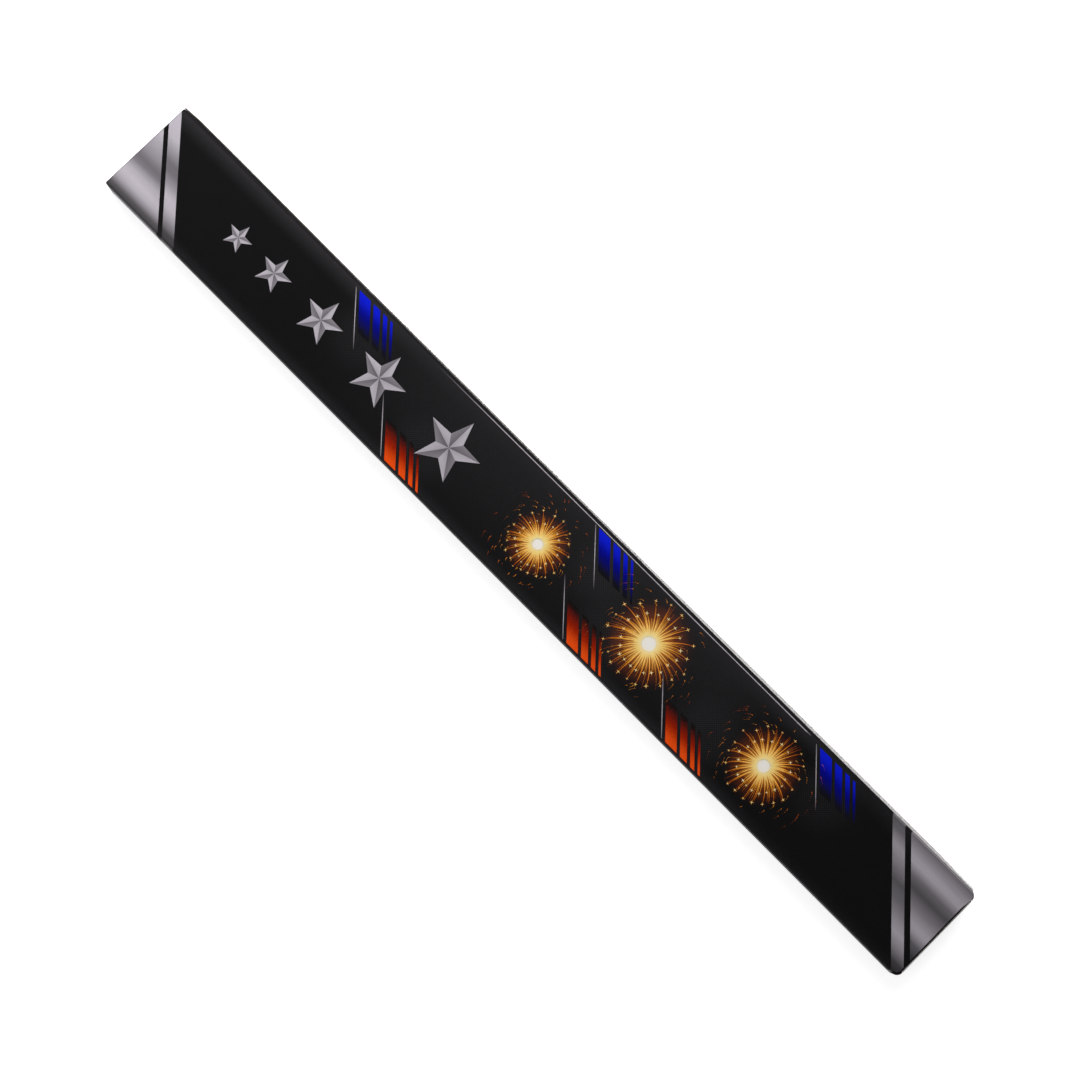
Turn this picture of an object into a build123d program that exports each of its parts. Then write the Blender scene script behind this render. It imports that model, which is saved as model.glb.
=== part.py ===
from build123d import *
import os

# A pack of sparklers: a long flat folding carton with a tucked closure at each end,
# holding one layer of dipped wire sparklers. Millimetres, lying on its back panel:
# +X runs to the handle end ("tail"), -X to the coated tips ("head"), +Z is the printed front.

# Sparkler
sparkler_count = 8
coat_length = 290.0
handle_length = 110.0
wire_diameter = 1.8
coat_diameter = 4.4
coat_tail_diameter = 4.0
coat_bulge = 9.0
coat_shoulder = 2.5
coat_runout = 4.0
coat_lip = 0.25
tip_cover = 1.6
wire_chamfer = 0.3

# Board and its folds
board = 0.5
fold_radius = 0.9
crease_gap = 0.05
slip = 0.15
seam_drop = 0.35
glue_clearance = 0.3
glue_mitre = 8.0

# Room left inside the carton
end_play = 10.5
side_room = 0.7
coat_gap = 0.7
rest_gap = 0.3
headroom = 3.3

# End closures
tail_corner_radius = 2.0
tongue_length = 11.0
tongue_corner_radius = 4.0
tongue_side_room = 1.1
closure_side_room = 0.3
flap_gap = 0.2
flap_edge_room = 0.2
flap_slope = 0.54
flap_tip = 2.0
flap_tip_radius = 0.8

# Sizes that follow
sparkler_length = coat_length + handle_length
coat_pitch = coat_diameter + coat_gap
head_stack = 2 * board + flap_gap
tail_stack = board + tail_corner_radius
carton_length = sparkler_length + 2 * end_play + head_stack + tail_stack
coats_width = (sparkler_count - 1) * coat_pitch + coat_diameter
carton_width = coats_width + 2 * side_room + 3 * board
carton_depth = 2 * board + rest_gap + coat_diameter + headroom

head_x = -carton_length / 2
tail_x = carton_length / 2
side_y = carton_width / 2
fold_y = side_y - fold_radius
seam_fold_y = fold_y - board
row_y = -board / 2
coat_z = board + rest_gap + coat_diameter / 2
tip_x = head_x + head_stack + end_play
coat_end_x = tip_x + coat_length
handle_end_x = tip_x + sparkler_length

bead = board / 2
hinge_y = side_y - bead
head_flap_x = head_x + board + flap_gap + bead
tail_flap_x = tail_x - tail_corner_radius - bead
side_start_x = head_flap_x + bead + crease_gap
side_end_x = tail_flap_x - bead - crease_gap
side_length = side_end_x - side_start_x

head_hinge_x = head_x + bead
head_hinge_z = bead
tail_hinge_x = tail_x - bead
tail_hinge_z = carton_depth - bead
head_tongue_z = carton_depth - board - slip - bead
tail_tongue_z = board + slip + bead
closure_reach = carton_depth - 2 * board - slip - board - crease_gap

os.makedirs("parts", exist_ok=True)


def save(piece, name):
    piece.part.label = name
    export_step(piece.part, f"parts/{name}.step")


# Front panel: printed face, cut square at the head and creased to the tail closure,
# where its two corners are rounded and rolled over
front_end_x = tail_x - board - crease_gap
crease_roll = tail_x - front_end_x
with BuildPart() as front_panel:
    with BuildSketch(Plane.XY.offset(carton_depth - board)) as front_outline:
        with BuildLine():
            Polyline(
                (head_x, -fold_y),
                (front_end_x, -fold_y),
                (front_end_x, seam_fold_y),
                (head_x, seam_fold_y),
                close=True,
            )
        make_face()
        fillet(front_outline.vertices().group_by(Axis.X)[-1], tail_corner_radius)
    extrude(amount=board)
    for side, edge_y in ((-1, -fold_y), (1, seam_fold_y)):
        middle_x, middle_y = front_end_x - tail_corner_radius, edge_y - side * tail_corner_radius
        with BuildSketch(Plane((middle_x, edge_y, carton_depth), x_dir=(0, side, 0), z_dir=(side, 0, 0))):
            with BuildLine():
                JernArc((0, 0), (1, 0), crease_roll, -90)
                offset(amount=board, side=Side.RIGHT)
            make_face()
        revolve(axis=Axis((middle_x, middle_y, 0), (0, 0, -side)), revolution_arc=90)
save(front_panel, "front_panel")

# Back panel: creased to the head closure, cut at the tail
back_start_x = head_x + board + crease_gap
with BuildPart() as back_panel:
    with BuildSketch() as back_outline:
        with BuildLine():
            Polyline(
                (back_start_x, -fold_y),
                (tail_x, -fold_y),
                (tail_x, fold_y),
                (back_start_x, fold_y),
                close=True,
            )
        make_face()
        fillet(back_outline.vertices().group_by(Axis.X)[-1], tail_corner_radius)
    extrude(amount=board)
save(back_panel, "back_panel")

# Plain side: the wall between the front and back panels, with both rounded folds,
# which run on past the wall to the head ends of those panels
with BuildPart() as plain_side:
    with BuildSketch(Plane.YZ.offset(side_start_x)):
        with BuildLine():
            lower_fold = JernArc((-fold_y, 0), (-1, 0), fold_radius, -90)
            wall = Line(lower_fold @ 1, (-side_y, carton_depth - fold_radius))
            JernArc(wall @ 1, (0, 1), fold_radius, -90)
            offset(amount=board, side=Side.RIGHT)
        make_face()
    extrude(amount=side_length)
    for start, heading, end_x in ((lower_fold @ 0, (-1, 0), back_start_x), (wall @ 1, (0, 1), head_x)):
        with BuildSketch(Plane.YZ.offset(side_start_x)):
            with BuildLine():
                JernArc(start, heading, fold_radius, -90)
                offset(amount=board, side=Side.RIGHT)
            make_face()
        extrude(amount=end_x - side_start_x)
save(plain_side, "plain_side_panel")

# Seam side: the last wall of the sheet, whose raw upper edge shows beside the front panel
with BuildPart() as seam_side:
    with BuildSketch(Plane.YZ.offset(side_start_x)):
        with BuildLine():
            lower_fold = JernArc((fold_y, 0), (1, 0), fold_radius, 90)
            Line(lower_fold @ 1, (side_y, carton_depth - seam_drop))
            offset(amount=board, side=Side.LEFT)
        make_face()
    extrude(amount=side_length)
    with BuildSketch(Plane.YZ.offset(side_start_x)):
        with BuildLine():
            JernArc(lower_fold @ 0, (1, 0), fold_radius, 90)
            offset(amount=board, side=Side.LEFT)
        make_face()
    extrude(amount=back_start_x - side_start_x)
save(seam_side, "seam_side_panel")

# Glue flap: turned down from the front panel inside the seam side, its ends mitred
glue_foot_z = fold_radius + glue_clearance
with BuildPart() as glue_flap:
    with BuildSketch(Plane.YZ.offset(side_start_x)):
        with BuildLine():
            upper_fold = JernArc((seam_fold_y, carton_depth), (1, 0), fold_radius, -90)
            Line(upper_fold @ 1, (side_y - board, glue_foot_z))
            offset(amount=board, side=Side.RIGHT)
        make_face()
    extrude(amount=side_length)
    with BuildSketch(Plane.XZ.offset(-side_y)):
        for end_x, inward in ((side_start_x, 1), (side_end_x, -1)):
            with BuildLine():
                Polyline(
                    (end_x, carton_depth - fold_radius),
                    (end_x + inward * glue_mitre, glue_foot_z),
                    (end_x, glue_foot_z),
                    close=True,
                )
            make_face()
    extrude(amount=2 * fold_radius + board, mode=Mode.SUBTRACT)
    with BuildSketch(Plane.YZ.offset(side_start_x)):
        with BuildLine():
            JernArc(upper_fold @ 0, (1, 0), fold_radius, -90)
            offset(amount=board, side=Side.RIGHT)
        make_face()
    extrude(amount=head_x - side_start_x)
save(glue_flap, "glue_flap")


def closure_panel(hinge_x, hinge_z, down, y_low, y_high):
    """End panel that turns about a crease, from the hinge line towards its tongue."""
    middle_z = hinge_z + down * closure_reach / 2
    with BuildPart() as panel:
        with BuildSketch(Plane.XZ.offset(-(y_low + y_high) / 2)):
            with Locations((hinge_x, middle_z)):
                SlotCenterToCenter(closure_reach, board, rotation=90)
        extrude(amount=(y_high - y_low) / 2, both=True)
    return panel


def tuck_tongue(crease_x, crease_z, inward, y_low, y_high):
    """Lip that tucks inside the carton, with rounded leading corners."""
    lead_x = crease_x + inward * tongue_length
    with BuildPart() as tongue:
        with BuildSketch(Plane.XZ.offset(-(y_low + y_high) / 2)):
            with Locations((crease_x, crease_z)):
                Circle(bead)
        extrude(amount=(y_high - y_low) / 2, both=True)
        with BuildSketch(Plane.XY.offset(crease_z - bead)) as outline:
            with BuildLine():
                Polyline(
                    (crease_x, y_low),
                    (lead_x, y_low),
                    (lead_x, y_high),
                    (crease_x, y_high),
                    close=True,
                )
            make_face()
            leading = outline.vertices().sort_by_distance((lead_x, row_y, crease_z))[:2]
            fillet(leading, tongue_corner_radius)
        extrude(amount=board)
    return tongue


def dust_flap(crease_x, side, straight_z, sloped_z):
    """Side flap inside a closure, cut away towards the closure's own crease."""
    rise = 1 if straight_z > sloped_z else -1
    flap_length = (abs(straight_z - sloped_z) - flap_tip) / flap_slope
    tip_y = side * (hinge_y - flap_length)
    with BuildPart() as flap:
        with BuildSketch(Plane.XY.offset(min(straight_z, sloped_z))):
            with Locations((crease_x, side * hinge_y)):
                Circle(bead)
        extrude(amount=abs(straight_z - sloped_z))
        with BuildSketch(Plane.YZ.offset(crease_x - bead)) as outline:
            with BuildLine():
                Polyline(
                    (side * hinge_y, sloped_z),
                    (tip_y, straight_z - rise * flap_tip),
                    (tip_y, straight_z),
                    (side * hinge_y, straight_z),
                    close=True,
                )
            make_face()
            tip_corners = outline.vertices().sort_by_distance((crease_x, tip_y, straight_z))[:2]
            fillet(tip_corners, flap_tip_radius)
        extrude(amount=board)
    return flap


# Head end: the closure is creased to the back panel and tucks behind the front panel
head_closure_y = fold_y - closure_side_room
save(
    closure_panel(head_hinge_x, head_hinge_z, 1, -head_closure_y, head_closure_y),
    "head_closure_panel",
)
head_tongue_y = fold_y - tongue_side_room
save(
    tuck_tongue(head_hinge_x, head_tongue_z, 1, -head_tongue_y, head_tongue_y),
    "head_tuck_tongue",
)
head_flap_top = head_tongue_z - bead - flap_edge_room
head_flap_foot = fold_radius + flap_edge_room
save(dust_flap(head_flap_x, -1, head_flap_top, head_flap_foot), "head_dust_flap_plain_side")
save(dust_flap(head_flap_x, 1, head_flap_top, head_flap_foot), "head_dust_flap_seam_side")

# Tail end: the closure is creased to the front panel and tucks in front of the back panel
tail_closure_low = -fold_y + tail_corner_radius + closure_side_room
tail_closure_high = seam_fold_y - tail_corner_radius - closure_side_room
save(
    closure_panel(tail_hinge_x, tail_hinge_z, -1, tail_closure_low, tail_closure_high),
    "tail_closure_panel",
)
save(
    tuck_tongue(
        tail_hinge_x,
        tail_tongue_z,
        -1,
        tail_closure_low + closure_side_room,
        tail_closure_high - closure_side_room,
    ),
    "tail_tuck_tongue",
)
tail_flap_foot = tail_tongue_z + bead + flap_edge_room
tail_flap_top = carton_depth - fold_radius - flap_edge_room
save(dust_flap(tail_flap_x, -1, tail_flap_foot, tail_flap_top), "tail_dust_flap_plain_side")
save(dust_flap(tail_flap_x, 1, tail_flap_foot, tail_flap_top), "tail_dust_flap_seam_side")

# Sparklers: a steel wire, and the dipped coat that is built up round it
wire_radius = wire_diameter / 2
coat_radius = coat_diameter / 2
coat_tail_radius = coat_tail_diameter / 2
wire_start_x = tip_x + tip_cover
bulge_end_x = tip_x + coat_radius + coat_bulge

for number in range(1, sparkler_count + 1):
    sparkler_y = row_y + (number - (sparkler_count + 1) / 2) * coat_pitch
    along = Plane(origin=(0, sparkler_y, coat_z), x_dir=(1, 0, 0), z_dir=(0, -1, 0))

    with BuildPart() as wire:
        with BuildSketch(along):
            with BuildLine():
                Polyline(
                    (wire_start_x, 0),
                    (wire_start_x, wire_radius),
                    (handle_end_x - wire_chamfer, wire_radius),
                    (handle_end_x, wire_radius - wire_chamfer),
                    (handle_end_x, 0),
                    close=True,
                )
            make_face()
        revolve(axis=Axis((0, sparkler_y, coat_z), (1, 0, 0)))
    save(wire, f"sparkler_wire_{number}")

    with BuildPart() as coat:
        with BuildSketch(along):
            with BuildLine():
                dome = CenterArc((tip_x + coat_radius, 0), coat_radius, 90, 90)
                Polyline(
                    dome @ 0,
                    (bulge_end_x, coat_radius),
                    (bulge_end_x + coat_shoulder, coat_tail_radius),
                    (coat_end_x - coat_runout, coat_tail_radius),
                    (coat_end_x, wire_radius + coat_lip),
                    (coat_end_x, wire_radius),
                    (wire_start_x, wire_radius),
                    (wire_start_x, 0),
                    dome @ 1,
                )
            make_face()
        revolve(axis=Axis((0, sparkler_y, coat_z), (1, 0, 0)))
    save(coat, f"sparkler_coat_{number}")
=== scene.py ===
import random
from math import cos, pi, radians, sin, sqrt

import bpy
from mathutils import Matrix, Vector, noise


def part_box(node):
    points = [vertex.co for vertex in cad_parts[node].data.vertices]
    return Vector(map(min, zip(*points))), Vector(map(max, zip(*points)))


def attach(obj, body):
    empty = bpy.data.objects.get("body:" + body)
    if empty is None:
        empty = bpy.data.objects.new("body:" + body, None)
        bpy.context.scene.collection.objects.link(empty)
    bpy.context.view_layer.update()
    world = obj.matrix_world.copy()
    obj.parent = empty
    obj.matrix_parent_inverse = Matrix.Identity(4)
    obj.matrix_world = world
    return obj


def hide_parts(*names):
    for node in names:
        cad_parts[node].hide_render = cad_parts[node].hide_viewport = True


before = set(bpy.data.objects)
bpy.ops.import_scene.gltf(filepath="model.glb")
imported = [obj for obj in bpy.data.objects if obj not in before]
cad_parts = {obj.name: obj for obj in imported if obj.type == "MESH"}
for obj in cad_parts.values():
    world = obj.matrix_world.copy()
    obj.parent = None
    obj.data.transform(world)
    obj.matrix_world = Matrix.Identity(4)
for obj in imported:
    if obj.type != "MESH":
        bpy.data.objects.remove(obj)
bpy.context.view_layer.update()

# A closed folding carton of sparklers. Sizes here are in millimetres and meshes are written in metres.
# +X runs to the tail, where the bare handles lie, +Y to the glued seam, +Z out of the printed front.
MM = 0.001


def node_box(node):
    low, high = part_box(node)
    return low / MM, high / MM


CREASE_GAP = 0.05
PANEL_LOW, PANEL_HIGH = node_box("front_panel")
BACK_LOW, BACK_HIGH = node_box("back_panel")
SIDE_LOW, SIDE_HIGH = node_box("plain_side_panel")
SEAM_HIGH = node_box("seam_side_panel")[1]
GLUE_LOW, GLUE_HIGH = node_box("glue_flap")
BOARD = BACK_HIGH.z - BACK_LOW.z
DEPTH = PANEL_HIGH.z
FOLD = SIDE_HIGH.y - SIDE_LOW.y
ARC = FOLD * pi / 2
# The flat of the front panel, between its folds and its crease
FRONT_LOW = Vector((PANEL_LOW.x, BACK_LOW.y, DEPTH - BOARD))
FRONT_HIGH = Vector((PANEL_HIGH.x - BOARD - CREASE_GAP, GLUE_HIGH.y - FOLD, DEPTH))
TAIL_CORNER = FRONT_HIGH.x - SIDE_HIGH.x
END_ROLL = PANEL_HIGH.x - FRONT_HIGH.x
WALL_START = node_box("head_dust_flap_plain_side")[1].x + CREASE_GAP
# The strip of the seam wall that runs on to the head above a dust flap, and its gap to that flap
TAB_GAP = 0.1
SEAM_TAB = SEAM_HIGH.z - node_box("head_dust_flap_seam_side")[1].z - TAB_GAP
GLUE_MITRE = 8.0
# Corner radius of tongues and flaps, the width of a flap's tip, and how far the ink runs past their creases
TONGUE_CORNER, TONGUE_BLEED = 4.0, 3.0
FLAP_CORNER, FLAP_TIP, FLAP_BLEED = 0.8, 2.0, 2.0

# How the board departs from flat: the crown of the front and the share of it that its ends lack, its ripples,
# the flare of the seam wall, and the rounding of cut edges
FRONT_SWELL, SWELL_LOST = 0.16, 0.7
FRONT_RIPPLE, RIPPLE_LENGTH, RIPPLE_WIDTH, RIPPLE_SLICE = 0.03, 47.0, 19.0, 3.7
SEAM_FLARE, FLARE_STARTS, FLARE_FULL, FLARE_CLOSES, FLARE_LOST = 0.45, -105.0, -195.0, -204.0, 0.9
CUT_BULGE, CUT_JITTER = 0.04, 0.03
# Crushed lip on the raw seam edge: how far it leans out and hangs, and where it grows and closes
BURR_REACH, BURR_VARIES, BURR_HANGS, BURR_ROOT = 0.6, (0.85, 1.1), (0.02, 0.08), 0.6
BURR_STARTS, BURR_FULL, BURR_CLOSES = -40.0, 105.0, 190.0
# Torn fibres on that edge: spacing, least reach, what is added between two places, width and lean
FIBRE_STEP, FIBRE_REACH, FIBRE_VARIES = 0.2, 0.3, (0.2, 1.0)
FIBRE_GAINS = ((0.3, -190.0, -60.0), (0.4, 30.0, 100.0))
FIBRE_HALF_WIDTH = (0.06, 0.14)
FIBRE_LEAN = ((-0.7, 0.7), (0.6, 1.0), (-0.1, 0.4))

# Lean of slanted printed edges, and the thickness of a layer of ink
LEAN = 0.94
FILM = 0.02
# Black left between the silver and the ends of the board; at the head this strip is painted shade along the
# cut edge. At the tail it closes up towards the seam
HEAD_MARGIN, TAIL_MARGIN = 0.2, 0.5
MARGIN_CLOSES, MARGIN_EASE = 17.0, 3.0

# Camera, from the photographed outline
AIM = Vector((4.97, 0.15, 4.5))
DISTANCE = 800.0
TILT_TO_TAIL, TILT_TO_PLAIN_SIDE, ROLL = (radians(a) for a in (6.18, 5.23, 45.52))
LENS, SENSOR = 70.38, 36.0


def feed(socket, value):
    """Links a socket, or sets a plain value on it."""
    if isinstance(value, bpy.types.NodeSocket):
        socket.id_data.links.new(value, socket)
    elif isinstance(value, tuple) and len(value) == 3 and len(socket.default_value) == 4:
        socket.default_value = (*value, 1.0)
    else:
        socket.default_value = value


class Shader:
    """One node material, built by short calls that return output sockets."""

    def __init__(self, name):
        self.material = bpy.data.materials.new(name)
        self.material.use_nodes = True
        self.tree = self.material.node_tree
        self.surface = self.tree.nodes["Principled BSDF"]
        self.place = self.node("ShaderNodeTexCoord")["Object"]

    def node(self, kind, inputs=None, **settings):
        """Adds a node, feeds its inputs and gives its outputs."""
        made = self.tree.nodes.new(kind)
        for key, value in settings.items():
            setattr(made, key, value)
        for key, value in (inputs or {}).items():
            feed(made.inputs[key], value)
        return made.outputs

    def math(self, operation, a, b=0.0, clamp=False):
        return self.node("ShaderNodeMath", {0: a, 1: b}, operation=operation, use_clamp=clamp)[0]

    def mix(self, share, a, b, blend="MIX"):
        return self.node("ShaderNodeMix", {0: share, 6: a, 7: b}, data_type="RGBA", blend_type=blend)[2]

    def between(self, value, low, high, to_low=0.0, to_high=1.0):
        """Smooth step of a value from one range to another."""
        inputs = {0: value, 1: low, 2: high, 3: to_low, 4: to_high}
        return self.node("ShaderNodeMapRange", inputs, interpolation_type="SMOOTHSTEP")[0]

    def ramp(self, share, stops):
        made = self.tree.nodes.new("ShaderNodeValToRGB")
        elements = made.color_ramp.elements
        while len(elements) < len(stops):
            elements.new(0.5)
        for element, (position, colour) in zip(elements, stops):
            element.position = position
            element.color = (*colour, 1.0)
        feed(made.inputs[0], share)
        return made.outputs[0]

    def noise(self, size, detail=2.0, rough=0.5, along=1.0):
        """Noise with features about size millimetres across, longer along X where along is small."""
        place = self.place
        if along < 1.0:
            inputs = {0: place, 1: (along, 1.0, 1.0)}
            place = self.node("ShaderNodeVectorMath", inputs, operation="MULTIPLY")[0]
        inputs = {"Vector": place, "Scale": 1 / (size * MM), "Detail": detail, "Roughness": rough}
        return self.node("ShaderNodeTexNoise", inputs)[0]

    def cells(self, size):
        """Distance to the middle of cells of about size millimetres."""
        return self.node("ShaderNodeTexVoronoi", {"Vector": self.place, "Scale": 1 / (size * MM)})["Distance"]

    def axes(self):
        return self.node("ShaderNodeSeparateXYZ", {0: self.place})

    def value(self, attribute):
        return self.node("ShaderNodeAttribute", attribute_name=attribute)["Fac"]

    def distance_to(self, spot):
        return self.node("ShaderNodeVectorMath", {0: self.place, 1: spot}, operation="DISTANCE")["Value"]

    def bump(self, height, depth, strength):
        inputs = {"Strength": strength, "Distance": depth * MM, "Height": height}
        feed(self.surface.inputs["Normal"], self.node("ShaderNodeBump", inputs)[0])

    def done(self, colour, rough, gloss=0.5, metal=0.0):
        """Sets the surface and gives the material."""
        inputs = {"Base Color": colour, "Roughness": rough, "Specular IOR Level": gloss, "Metallic": metal}
        for key, value in inputs.items():
            feed(self.surface.inputs[key], value)
        return self.material


# Materials

INK_BLACK = (0.0055, 0.0053, 0.0058)
INK_GREY = (0.0110, 0.0105, 0.0114)
INK_GLOSS, FOLD_DULL = 0.03, 0.3
NET_PITCH, NET_GREY = 1.1, (0.0165, 0.016, 0.0175)
# Pale fibre of cracked ink, also the colour of the painted sheen and highlights on the front
BARE_FIBRE_AND_SHEEN = (0.80, 0.755, 0.81)
SILVER = (0.56, 0.515, 0.575)
# Where along the carton its raw edges are darkest, under painted shade at the head, and palest
RAW_DARK, RAW_PALE = -190.0, 120.0
# Colours of a burst's glow, and of its sparks, from the middle outwards
GLOW_STOPS = (
    (0.0, (0.92, 0.88, 0.84)), (0.17, (0.92, 0.86, 0.74)), (0.22, (0.92, 0.62, 0.20)),
    (0.32, (0.50, 0.15, 0.012)), (0.55, (0.10, 0.016, 0.001)), (0.85, (0.008, 0.001, 0.0)),
    (1.0, (0.0, 0.0, 0.0)),
)
SPARK_STOPS = (
    (0.0, (0.98, 0.92, 0.72)), (0.25, (0.98, 0.72, 0.22)), (0.55, (0.92, 0.36, 0.03)),
    (0.85, (0.62, 0.12, 0.006)), (1.0, (0.30, 0.04, 0.003)),
)


def ground_colour(shader):
    """Black ink with its fine grain, a little uneven over the board."""
    grain = shader.between(shader.noise(0.35, detail=1.0), 0.42, 0.72)
    cloud = shader.between(shader.noise(9.0), 0.2, 0.8, 0.35, 0.65)
    return shader.mix(shader.math("MULTIPLY", grain, cloud), INK_BLACK, INK_GREY)


def satin(shader):
    """Sheen of the print, with the faint orange-peel of its varnish."""
    shader.bump(shader.noise(0.5, detail=3.0), 0.012, 0.14)
    return shader.between(shader.noise(2.5, detail=4.0), 0.3, 0.7, 0.46, 0.52)


def net(shader):
    """Fine diagonal net, 1 along its lines and 0 in its holes."""
    axes = shader.axes()
    lines = []
    for operation in ("ADD", "SUBTRACT"):
        across = shader.math(operation, axes["X"], axes["Y"])
        wave = shader.math("SINE", shader.math("MULTIPLY", across, pi / (NET_PITCH * MM)))
        lines.append(shader.math("ABSOLUTE", wave))
    return shader.between(shader.math("MINIMUM", *lines), 0.25, 0.5, 1.0, 0.0)


def black_ink(name, dull=0.0, glows=(), nets=()):
    """Satin black print. Its wear and sheen value shows pale fibres where the ink is cracked, and on the
    front paints sheen and highlights in that pale colour.
    """
    shader = Shader(name)
    colour = ground_colour(shader)
    for spot, reach in nets:
        share = shader.between(shader.distance_to(spot), 0.3 * reach * MM, reach * MM, 1.0, 0.0)
        colour = shader.mix(shader.math("MULTIPLY", share, net(shader)), colour, NET_GREY)
    for spot, reach in glows:
        share = shader.math("DIVIDE", shader.distance_to(spot), reach * MM, clamp=True)
        colour = shader.mix(1.0, colour, shader.ramp(share, GLOW_STOPS), "ADD")
    speckle = shader.between(shader.noise(0.22, detail=3.0, rough=0.7), 0.3, 0.62)
    # Pale fibre where the ink is cracked, and painted sheen and highlights of the front in the same colour
    wear_and_sheen_share = shader.math("MULTIPLY", shader.value("wear"), shader.math("ADD", speckle, 0.25), clamp=True)
    colour = shader.mix(wear_and_sheen_share, colour, BARE_FIBRE_AND_SHEEN)
    rough = shader.math("ADD", satin(shader), shader.math("MULTIPLY", wear_and_sheen_share, 0.4), clamp=True)
    rough = shader.math("ADD", rough, dull, clamp=True)
    return shader.done(colour, rough, INK_GLOSS)


def plain_board():
    """Unprinted inner face: warm grey recycled fibres."""
    shader = Shader("plain_board")
    fibres = shader.noise(1.0, detail=5.0, rough=0.65, along=0.35)
    flecks = shader.between(shader.noise(0.8, detail=1.0), 0.68, 0.74)
    colour = shader.mix(shader.between(fibres, 0.3, 0.7), (0.40, 0.375, 0.335), (0.56, 0.53, 0.485))
    colour = shader.mix(shader.math("MULTIPLY", flecks, 0.55), colour, (0.20, 0.17, 0.14))
    shader.bump(fibres, 0.05, 0.5)
    return shader.done(colour, 0.92, gloss=0.2)


def coated_white():
    """Clay-coated outer liner of the tongues and flaps."""
    shader = Shader("coated_white")
    cloud = shader.noise(3.0, detail=4.0)
    colour = shader.mix(shader.between(cloud, 0.3, 0.7), (0.66, 0.655, 0.64), (0.74, 0.735, 0.72))
    shader.bump(shader.noise(0.5, detail=3.0), 0.012, 0.3)
    return shader.done(colour, 0.55, gloss=0.3)


def raw_edge():
    """Cut edge of the board: torn grey-brown fibres, darkened by painted shade towards the head and paler
    towards the tail.
    """
    shader = Shader("raw_edge")
    fibres = shader.noise(0.3, detail=4.0, rough=0.75, along=0.5)
    # Painted shade darkens the raw edges towards the head
    paler = shader.between(shader.axes()["X"], RAW_DARK * MM, RAW_PALE * MM, -0.1, 0.16)
    layers = ((0.34, (0.045, 0.038, 0.035)), (0.5, (0.17, 0.15, 0.145)), (0.66, (0.86, 0.84, 0.83)))
    colour = shader.ramp(shader.math("ADD", fibres, paler), layers)
    shader.bump(fibres, 0.08, 0.8)
    return shader.done(colour, 0.95, gloss=0.15)


def silver_ink(name, tone=None):
    """Metallic silver print, as light or dark as its tone value, or of one tone."""
    shader = Shader(name)
    grey = shader.mix(shader.value("tone") if tone is None else tone, INK_BLACK, SILVER)
    flake = shader.between(shader.noise(0.12, detail=1.0), 0.35, 0.7, 0.9, 1.08)
    drawn = shader.noise(0.4, detail=3.0, along=0.03)
    colour = shader.node("ShaderNodeVectorMath", {0: grey, "Scale": flake}, operation="SCALE")[0]
    rough = shader.between(drawn, 0.3, 0.7, 0.38, 0.48)
    shader.bump(shader.noise(0.5, detail=3.0), 0.01, 0.3)
    return shader.done(colour, rough, metal=0.45)


def fading_ink(name, bright, deep):
    """Print that runs from bright to deep and into the black ground, along its tone value."""
    shader = Shader(name)
    dots = shader.between(shader.noise(0.3, detail=0.0), 0.4, 0.6, -0.05, 0.05)
    tone = shader.math("ADD", shader.value("tone"), dots)
    tint = shader.mix(shader.between(tone, 0.05, 0.55), bright, deep)
    colour = shader.mix(shader.between(tone, 0.4, 0.97), tint, ground_colour(shader))
    return shader.done(colour, satin(shader), INK_GLOSS)


def spark_ink():
    """Gold and orange print, hot at the middle of a burst and red at its tips."""
    shader = Shader("spark_ink")
    grain = shader.between(shader.noise(0.3, detail=1.0), 0.3, 0.7, -0.06, 0.06)
    colour = shader.ramp(shader.math("ADD", shader.value("tone"), grain, clamp=True), SPARK_STOPS)
    return shader.done(colour, satin(shader), INK_GLOSS)


def coat_material():
    """Dried dip: dark grey slurry with metal grains."""
    shader = Shader("dipped_coat")
    lumps = shader.noise(0.5, detail=5.0, rough=0.7)
    grey = shader.mix(shader.between(lumps, 0.3, 0.7), (0.055, 0.054, 0.056), (0.17, 0.168, 0.172))
    grains = shader.between(shader.noise(0.16, detail=0.0), 0.66, 0.72)
    metal = shader.math("MULTIPLY", grains, 0.8)
    rough = shader.math("SUBTRACT", 0.86, shader.math("MULTIPLY", grains, 0.45))
    shader.bump(shader.math("ADD", lumps, shader.math("MULTIPLY", shader.cells(0.28), -0.6)), 0.16, 0.9)
    return shader.done(shader.mix(metal, grey, (0.55, 0.55, 0.56)), rough, metal=metal)


def wire_material():
    """Drawn steel wire, with fine lines and a few rust freckles."""
    shader = Shader("steel_wire")
    lines = shader.noise(0.25, detail=3.0, along=0.02)
    freckles = shader.between(shader.noise(1.4, detail=4.0, rough=0.7), 0.66, 0.76)
    colour = shader.mix(shader.between(lines, 0.3, 0.7), (0.33, 0.325, 0.32), (0.56, 0.555, 0.55))
    colour = shader.mix(shader.math("MULTIPLY", freckles, 0.6), colour, (0.20, 0.10, 0.05))
    drawn = shader.between(lines, 0.3, 0.7, 0.24, 0.4)
    shader.bump(lines, 0.01, 0.4)
    return shader.done(colour, shader.math("ADD", drawn, shader.math("MULTIPLY", freckles, 0.4)), metal=1.0)


# Meshes

SHARP_ANGLE = radians(40.0)


def put(name, data):
    """Adds an object to the scene."""
    made = bpy.data.objects.new(name, data)
    bpy.context.scene.collection.objects.link(made)
    return made


def smooth_mesh(name, points, faces, materials):
    """A mesh of points in millimetres, shaded smooth."""
    mesh = bpy.data.meshes.new(name)
    mesh.from_pydata([Vector(p) * MM for p in points], [], faces)
    for material in materials:
        mesh.materials.append(material)
    mesh.shade_smooth()
    return mesh


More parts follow.
